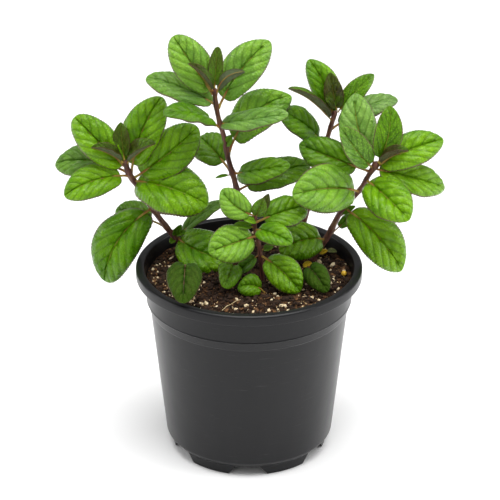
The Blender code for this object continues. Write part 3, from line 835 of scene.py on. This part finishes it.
# Living leaf: a waxy skin over green tissue that lets a little light through, matt and paler underneath.
# Its colours: the painted shade of the vein hollows and creases, green, light green, rib, underside's two,
# margin; then roughness and crinkle.
LEAF_FINISHES = {
    "grown_leaf": ("#1e4000", "#457801", "#72a406", "#9fbf4a", "#6d7d26", "#93a04a", "#5d4a3c", 0.27, 0.3),
    "shaded_leaf": ("#203f00", "#3c6a02", "#5e8e02", "#6f9430", "#5c6c26", "#7f8c40", "#4b3a30", 0.34, 0.25),
    "young_leaf": ("#15180a", "#3a340e", "#64a010", "#8a7a30", "#4a2a18", "#66785a", "#41231f", 0.28, 0.7),
    "fresh_leaf": ("#163000", "#3a6c04", "#70a80c", "#8aa83c", "#3f7008", "#78a830", "#5d4a3c", 0.26, 0.6),
    # The seedling finish's very dark greens are painted shade of the foliage above.
    "shaded_seedling_leaf": ("#0c1e02", "#173002", "#204204", "#38561a", "#46541c", "#5f6a30", "#3a2c22", 0.5, 0.2),
    "yellowed_leaf": ("#8a6a10", "#b8961c", "#d8c040", "#d8c060", "#b09030", "#c8b050", "#8a6020", 0.6, 0.3),
    "withered_leaf": ("#4a5030", "#6a7048", "#8a9068", "#9a9a70", "#6a6a48", "#8a8a60", "#5a4a30", 0.7, 0.4),
}
finishes = {name: leaf_materials(name, *looks) for name, looks in LEAF_FINISHES.items()}

# The petiole and midrib: a fleshy stalk, orange-brown with green in it, smooth and slightly glossy.
stalk, tree, shader = new_material("leaf_stalk", IOR=1.42, Specular_IOR_Level=0.4, Roughness=0.45)
place = add_node(tree, "TexCoord").outputs["Object"]
shades = add_node(tree, "TexNoise", {"Vector": place, "Scale": 220.0, "Detail": 2.0})
contrast = add_node(tree, "MapRange", {"Value": shades, "From Min": 0.35, "From Max": 0.65})
orange = add_node(tree, "Mix", {0: contrast, 6: linear("#8a5a2b"), 7: linear("#9c8a3c")})
relief = add_node(tree, "Bump", {"Height": shades, "Strength": 0.2, "Distance": 0.0003})
feed(tree, shader, {"Base Color": orange, "Normal": relief})

FRESH_LEAVES = ("back_leaf_2", "right_leaf_2", "right_leaf_3")
# The two lowest leaves get the seedling finish, darkened with painted shade of the leaves above them.
SEEDLINGS = ("ground_leaf_1", "ground_leaf_4")
# How bright each leaf is, from 0 to 1, where it isn't half way: partly its own colour, brown-green in the
# young, and partly painted light, leaves in the light set brighter and leaves in shade darker
LEAF_TONES = {
    "back_leaf_5": 0.3, "tall_leaf_10": 0.6, "tall_leaf_11": 0.5, "left_leaf_7": 0.3, "front_leaf_2": 0.7,
    "right_leaf_12": 0.5,
    "left_leaf_1": 0.9, "left_leaf_2": 0.6, "left_leaf_6": 0.8, "left_leaf_8": 0.7, "left_leaf_9": 0.6,
    "left_leaf_10": 0.0, "left_leaf_13": 0.5, "tall_leaf_1": 0.7, "tall_leaf_2": 0.7, "tall_leaf_8": 0.6,
    "front_leaf_1": 1.0, "front_leaf_4": 1.0, "front_leaf_5": 0.8, "right_leaf_1": 1.0, "right_leaf_5": 0.8,
    "right_leaf_6": 0.9, "right_leaf_7": 0.8, "right_leaf_8": 0.95, "right_leaf_11": 0.8,
    "left_leaf_3": 0.5, "left_leaf_4": 0.45, "left_leaf_5": 0.55, "tall_leaf_3": 0.45, "tall_leaf_4": 0.4,
    "tall_leaf_5": 0.55, "back_leaf_2": 0.8, "back_leaf_3": 0.2, "back_leaf_4": 0.35, "right_leaf_2": 0.9,
    "right_leaf_3": 0.7, "right_leaf_4": 0.3, "ground_leaf_4": 1.0, "ground_leaf_2": 0.5,
    "ground_leaf_3": 0.6,
}
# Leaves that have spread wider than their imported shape
LEAF_SPREADS = {"right_leaf_11": 1.18, "left_leaf_8": 1.1, "right_leaf_2": 1.15, "tall_leaf_9": 1.1}
# How much painted sheen, a pale grey-green standing for reflected light, shows on each leaf that has it
PAINTED_SHEENS = {
    "right_leaf_1": 0.4, "tall_leaf_9": 0.35, "back_leaf_6": 0.4, "tall_leaf_6": 0.25, "tall_leaf_1": 0.2,
    "tall_leaf_2": 0.2, "front_leaf_4": 0.15, "front_leaf_1": 0.2, "right_leaf_11": 0.15, "right_leaf_2": 0.2,
    "left_leaf_12": 0.2, "left_leaf_7": 0.15, "tall_leaf_8": 0.1,
}
# What differs from leaf to leaf: the edge's wave, how often it waves and from where, the tip and its curl
LEAF_RANGES = {"wave": (0.02, 0.06), "waves": (2.0, 3.4), "phase": (0.0, 1.0), "taper": (0.02, 0.22),
               "curl": (0.05, 0.30)}
# How much of its packed petiole shows below a blade, and a grown blade's quilting in mm and crown
YOUNG_PETIOLE = 0.35
GROWN_PETIOLE = 0.8
GROWN_QUILT = 1.25
GROWN_CROWN = (0.38, 0.55)
round_ring = ring_profile("petiole_profile", 10, 0.0)
leaf_slots = {row["node"]: row["material_slot"] for row in frame["record"]["subparts"]}
leaf_draw = np.random.default_rng(21)


def grow_leaf(name, leaf, replaced=None):
    """One leaf, its blade and its petiole as one piece, riding on the pot's body."""
    blade = build_blade(name, leaf)
    petiole = build_petiole(f"{name}_petiole", leaf, round_ring)
    petiole.data.materials.append(bark if leaf["finish"] is finishes["shaded_seedling_leaf"] else stalk)
    petiole.select_set(True)
    blade.select_set(True)
    bpy.context.view_layer.objects.active = blade
    bpy.ops.object.join()
    blade.select_set(False)
    settle(blade)
    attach(blade, "root")
    if replaced:
        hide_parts(replaced)
    return blade


for leaf_name in leaf_names:
    leaf = measure_leaf(leaf_name)
    leaf_slot = leaf_slots[leaf_name]
    is_young = leaf_slot == "young_leaf"
    finish = "grown_leaf" if leaf_slot == "leaf" else leaf_slot
    finish = "shaded_seedling_leaf" if leaf_name in SEEDLINGS else finish
    leaf["finish"] = finishes["fresh_leaf" if leaf_name in FRESH_LEAVES else finish]
    leaf["tone"] = LEAF_TONES.get(leaf_name, 0.4)
    leaf["painted_sheen"] = PAINTED_SHEENS.get(leaf_name, 0.0)
    leaf["petiole"] *= YOUNG_PETIOLE if is_young else GROWN_PETIOLE
    leaf["width"] *= LEAF_SPREADS.get(leaf_name, 1.0)
    leaf["lobe"] = 0.0 if is_young else BASE_LOBE
    leaf["quilt"] = (1.0 if is_young else GROWN_QUILT) * min(leaf["width"] / (LEAF_WIDTH * MM), 1.1)
    leaf["crown"] = 0.0 if is_young else leaf_draw.uniform(*GROWN_CROWN)
    for quality, (least, most) in LEAF_RANGES.items():
        leaf[quality] = leaf_draw.uniform(least, most)
    leaf["stoutness"] = min(max(leaf["width"] / (LEAF_WIDTH * MM), 0.6), 1.0)
    grow_leaf(f"{leaf_name}_blade", leaf, leaf_name)

# The smallest growth: the innermost leaves of the short stem, buds where leaves join the stems, and a bract.
# Each has its foot, its tip, its width, the share that is petiole, the way its face looks, slot and tone.
UP_FRONT = (0.0, -0.6, 0.8)
FRONT = (0.0, -1.0, 0.3)
SMALL_LEAVES = {
    "front_bud_leaf_1": ((4.6, -17.9, 177.0), (9.4, -17.0, 190.0), 10.5, 0.05, FRONT, "young_leaf", 0.85),
    "front_bud_leaf_2": ((7.0, -15.5, 177.5), (12.8, -12.5, 191.0), 7.0, 0.10, FRONT, "young_leaf", 0.5),
    "front_bud_leaf_3": ((5.0, -18.2, 173.0), (-4.4, -20.0, 176.6), 6.0, 0.05, UP_FRONT, "leaf", 0.8),
    "front_bud_leaf_4": ((3.4, -16.6, 168.5), (-10.2, -18.5, 171.0), 6.5, 0.15, UP_FRONT, "shaded_leaf", 0.6),
    "front_bud_leaf_5": ((8.0, -13.0, 150.0), (16.0, -14.5, 153.2), 6.0, 0.25, UP_FRONT, "shaded_leaf", 0.5),
    "front_bud_leaf_6": ((6.6, -12.0, 146.0), (-7.0, -13.0, 133.5), 12.0, 0.15, UP_FRONT, "shaded_leaf", 0.2),
    "tall_bud_leaf_1": ((-16.8, 23.2, 209.0), (-11.6, 21.5, 218.2), 6.5, 0.10, FRONT, "leaf", 0.2),
    "tall_bract": ((-13.4, 25.2, 187.2), (-22.4, 24.0, 185.6), 2.6, 0.10, UP_FRONT, "leaf", 0.3),
    "left_bud_leaf_1": ((-50.6, 32.0, 138.5), (-46.0, 30.5, 147.6), 5.5, 0.15, FRONT, "leaf", 0.4),
    "left_bud_leaf_2": ((-50.6, 32.0, 138.5), (-42.6, 29.0, 143.0), 5.0, 0.15, UP_FRONT, "leaf", 0.3),
    "left_bud_leaf_3": ((-50.0, 32.0, 137.0), (-53.6, 28.5, 134.6), 5.0, 0.10, UP_FRONT, "leaf", 0.4),
    "left_bud_leaf_4": ((-50.0, 32.0, 138.0), (-50.0, 28.4, 146.0), 4.5, 0.10, FRONT, "shaded_leaf", 0.5),
    "right_bud_leaf_1": ((62.6, 24.3, 157.6), (71.4, 22.5, 165.4), 4.8, 0.20, UP_FRONT, "leaf", 0.3),
    "right_bud_leaf_2": ((62.6, 24.3, 158.0), (66.2, 22.0, 165.6), 3.4, 0.10, FRONT, "leaf", 0.4),
}
# Bits that have dropped on the soil: two yellowed leaf scraps and a dry grey-green one
SMALL_LEAVES.update({
    "dropped_scrap_1": ((36.6, 9.6, 126.2), (42.0, 13.4, 127.6), 4.6, 0.02, UP_FRONT, "yellowed_leaf", 0.7),
    "dropped_scrap_2": ((48.4, 29.8, 125.8), (53.4, 32.6, 127.2), 3.6, 0.02, UP_FRONT, "yellowed_leaf", 0.4),
    "dropped_scrap_3": ((53.4, 33.6, 126.4), (59.6, 28.6, 128.0), 4.0, 0.02, UP_FRONT, "withered_leaf", 0.6),
})
for small_name, (foot, tip, width, petiole, facing, slot, tone) in SMALL_LEAVES.items():
    foot, tip = np.array(foot) * MM, np.array(tip) * MM
    length = np.linalg.norm(tip - foot)
    line = (tip - foot) / length
    across = np.cross(facing, line)
    across /= np.linalg.norm(across)
    grow_leaf(small_name, {
        "start": foot, "line": line, "across": across, "upward": np.cross(line, across), "length": length,
        "width": width * MM, "petiole": petiole, "fold": 0.35, "arch": 0.06, "bow": 0.0, "lobe": 0.0,
        "finish": finishes["grown_leaf" if slot == "leaf" else slot], "tone": tone, "painted_sheen": 0.0,
        "quilt": width / LEAF_WIDTH, "crown": 0.2, "wave": 0.03, "waves": 2.0, "phase": width / 7.0,
        "taper": 0.3, "curl": 0.1, "stoutness": 0.5,
    })

# A pale rootlet lies over the soil in front, and one granule of slow fertiliser at the right.
rootlet_line = np.array([(-17.7, -52.8, 125.6), (-14.6, -48.6, 126.7), (-11.8, -46.4, 126.9),
                         (-9.2, -42.6, 127.0), (-6.4, -40.8, 127.2), (-4.0, -38.6, 126.4)]) * MM
rootlet = tube("loose_rootlet", rootlet_line, np.linspace(0.26, 0.12, len(rootlet_line)) * MM, round_ring)
rootlet.data.materials.append(grain_material("dry_root", "#a89468", "#d8c8a0", 1.0, 0.7))
bpy.ops.mesh.primitive_uv_sphere_add(segments=20, ring_count=12, radius=1.9 * MM,
                                     location=(63.7 * MM, -0.8 * MM, 126.4 * MM))
granule = bpy.context.object
granule.name = "fertiliser_granule"
settle(granule)
granule.select_set(False)
granule.data.materials.append(grain_material("coated_fertiliser", "#b88a1c", "#e8c040", 1.4, 0.4))
for piece in (rootlet, granule):
    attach(piece, "root")
bpy.data.objects.remove(round_ring, do_unlink=True)

# ----------------------------
# The bench and the studio: a plain white sweep, a large soft light overhead and softer ones at both sides,
# and the camera at the height of a standing viewer's eyes, looking down on the plant.
# ----------------------------
FLOOR_SIZE = 12.0
FLOOR_DROP = 0.0003
PLANT_MIDDLE = (0.0, 0.0, 0.16)
# Each soft light's place and size in metres, and its power in watts
SOFTBOXES = {
    "overhead_softbox": ((0.1, -0.2, 1.5), (1.4, 1.4), 31.0),
    "left_softbox": ((-1.5, 0.1, 0.5), (0.9, 1.5), 11.0),
    "right_softbox": ((1.5, -0.1, 0.5), (1.1, 1.5), 15.0),
    "front_softbox": ((-0.9, -2.2, 1.3), (1.0, 1.0), 5.0),
}
WORLD_STRENGTH = 0.38
CAMERA_TARGET = Vector((0.0006, 0.0, 0.1436))
CAMERA_DISTANCE = 1.8
CAMERA_ELEVATION = math.radians(26.4)
CAMERA_SENSOR = 36.0
CAMERA_LENS = 193.75

bpy.ops.mesh.primitive_plane_add(size=FLOOR_SIZE, location=(0.0, 0.0, -FLOOR_DROP))
floor = bpy.context.object
floor.name = "studio_floor"
paper, tree, shader = new_material("white_paper_sweep", Roughness=0.9, Specular_IOR_Level=0.1)
shader.inputs["Base Color"].default_value = linear("#fdfdfd")
floor.data.materials.append(paper)
floor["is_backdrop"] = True

for light_name, (light_place, light_size, power) in SOFTBOXES.items():
    light = bpy.data.lights.new(light_name, "AREA")
    light.shape = "RECTANGLE"
    light.size, light.size_y = light_size
    light.energy = power
    lamp = add_object(light_name, light)
    lamp.location = light_place
    lamp.rotation_euler = (Vector(PLANT_MIDDLE) - Vector(light_place)).to_track_quat("-Z", "Y").to_euler()
world = bpy.data.worlds.new("studio")
world.use_nodes = True
feed(world.node_tree, world.node_tree.nodes["Background"], {"Color": linear("#ffffff"),
                                                            "Strength": WORLD_STRENGTH})
bpy.context.scene.world = world
bpy.context.scene.view_settings.view_transform = "Standard"

camera_data = bpy.data.cameras.new("studio_camera")
camera_data.sensor_width = CAMERA_SENSOR
camera_data.lens = CAMERA_LENS
camera = add_object("studio_camera", camera_data)
back = Vector((0.0, -math.cos(CAMERA_ELEVATION), math.sin(CAMERA_ELEVATION)))
camera.location = CAMERA_TARGET + back * CAMERA_DISTANCE
camera.rotation_euler = (-back).to_track_quat("-Z", "Y").to_euler()
bpy.context.scene.camera = camera

low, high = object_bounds()
